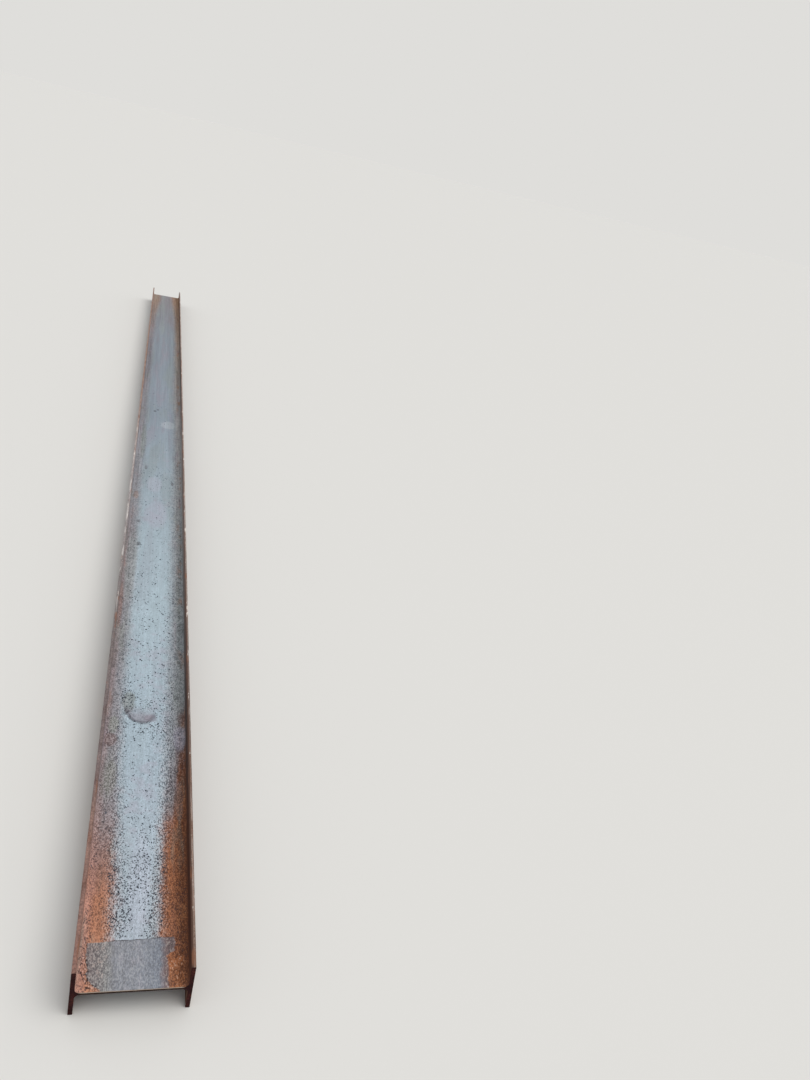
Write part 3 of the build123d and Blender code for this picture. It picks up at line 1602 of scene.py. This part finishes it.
    def crowd(self, along: float, across: float) -> float:
        """Finds how likely a try becomes a blister.

        Args:
            along: Distance from the near end.
            across: Place across the web.

        Returns:
            The likelihood, where 1 and more is certain.
        """
        past = abs(across) - 42 * MM - 14 * MM * climb(along, 0.12, 0.80)
        if past > 10 * MM:
            return 0.0
        here = Vector((along, across, 0))
        likely = 0.42 + 0.9 * bumps(here, 14, 34, 3) + 0.6 * bumps(here, 45, 80, 8)
        likely += 0.3 * math.exp(-((past / (8 * MM)) ** 2)) * max(0.0, 1.0 - along / 1.2)
        return likely + sum(clump.pull(along, across) for clump in self.clumps)


@dataclass(frozen=True)
class Studio:
    """The floor, the light and the camera.

    Attributes:
        stand: Where the camera stands.
        heading: Which way it looks, turned about Z from +Y toward -X, in degrees.
        down: How far it looks down, in degrees.
        lean: How far the picture leans, in degrees.
        focal: The focal length as a share of the picture's long side.
        sky: Strength of the even sky.
        sun: Strength of the lamp.
        softness: How wide the lamp looks, in degrees.
        sunward: Where the lamp shines from.
        reach: How far the floor reaches.
    """

    stand: Triple = (4.027, -0.078, 1.400)
    heading: float = 70.75
    down: float = 23.26
    lean: float = 13.78
    focal: float = 859.7 / 1080
    sky: float = 0.66
    sun: float = 1.35
    softness: float = 50.0
    sunward: Triple = (0.2, 0.4, 1.0)
    reach: float = 150.0

    def build(self) -> None:
        """Sets up the whole studio."""
        self.floor()
        self.light()
        self.camera()
        bpy.context.scene.view_settings.view_transform = "Standard"

    def floor(self) -> None:
        """Lays a plain pale floor that reaches far past the beam."""
        shape = bmesh.new()
        bmesh.ops.create_grid(shape, x_segments=1, y_segments=1, size=self.reach)
        bench = Bench("pale_floor")
        bench.colour = shade(222, 220, 216)
        make_piece("floor", shape, [bench.finish(0.95, 0.0, 0.1)])

    def light(self) -> None:
        """Adds an even sky, seen as a pale backdrop, and one broad, soft lamp."""
        world = bpy.data.worlds.new("studio")
        bpy.context.scene.world = world
        world.use_nodes = True
        tree = world.node_tree
        tree.nodes.clear()
        seen = add_node(tree, "ShaderNodeBackground", {"Color": shade(223, 222, 219)})
        sky = add_node(tree, "ShaderNodeBackground", {"Color": (0.96, 0.98, 1.0, 1.0), "Strength": self.sky})
        by_camera = add_node(tree, "ShaderNodeLightPath", {}).outputs["Is Camera Ray"]
        either = add_node(tree, "ShaderNodeMixShader", {0: by_camera, 1: sky.outputs[0], 2: seen.outputs[0]})
        add_node(tree, "ShaderNodeOutputWorld", {"Surface": either.outputs[0]})
        lamp = bpy.data.lights.new("key", "SUN")
        lamp.energy = self.sun
        lamp.angle = math.radians(self.softness)
        lamp.color = (1.0, 0.985, 0.96)
        key = bpy.data.objects.new("key", lamp)
        key.rotation_euler = Vector(self.sunward).to_track_quat("Z", "Y").to_euler()
        bpy.context.scene.collection.objects.link(key)

    def camera(self) -> None:
        """Stands the camera at the near end, tilted as a hand-held one is."""
        lens = bpy.data.cameras.new("camera")
        lens.sensor_fit = "AUTO"
        lens.sensor_width = 36.0
        lens.lens = lens.sensor_width * self.focal
        lens.clip_start = 0.05
        lens.clip_end = 400.0
        camera = bpy.data.objects.new("camera", lens)
        turn = Matrix.Rotation(math.radians(self.heading), 4, "Z")
        tip = Matrix.Rotation(math.radians(90 - self.down), 4, "X")
        lean = Matrix.Rotation(math.radians(self.lean), 4, "Z")
        camera.matrix_world = Matrix.Translation(self.stand) @ turn @ tip @ lean
        bpy.context.scene.collection.objects.link(camera)
        bpy.context.scene.camera = camera


def main() -> None:
    """Builds the beam, its blisters and the studio, and notes the sizes."""
    logging.basicConfig(level=logging.INFO, format="%(message)s")
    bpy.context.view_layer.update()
    low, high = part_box(NODE)
    section = Section(half_length=high.x, half_depth=high.y, flange_width=high.z - low.z)
    for maker in (RolledBeam(section), RustBlisters(section)):
        piece = maker.build()
        LOG.info("%s: %d faces", piece.name, len(piece.data.polygons))
    Studio().build()


if __name__ == "__main__":
    main()
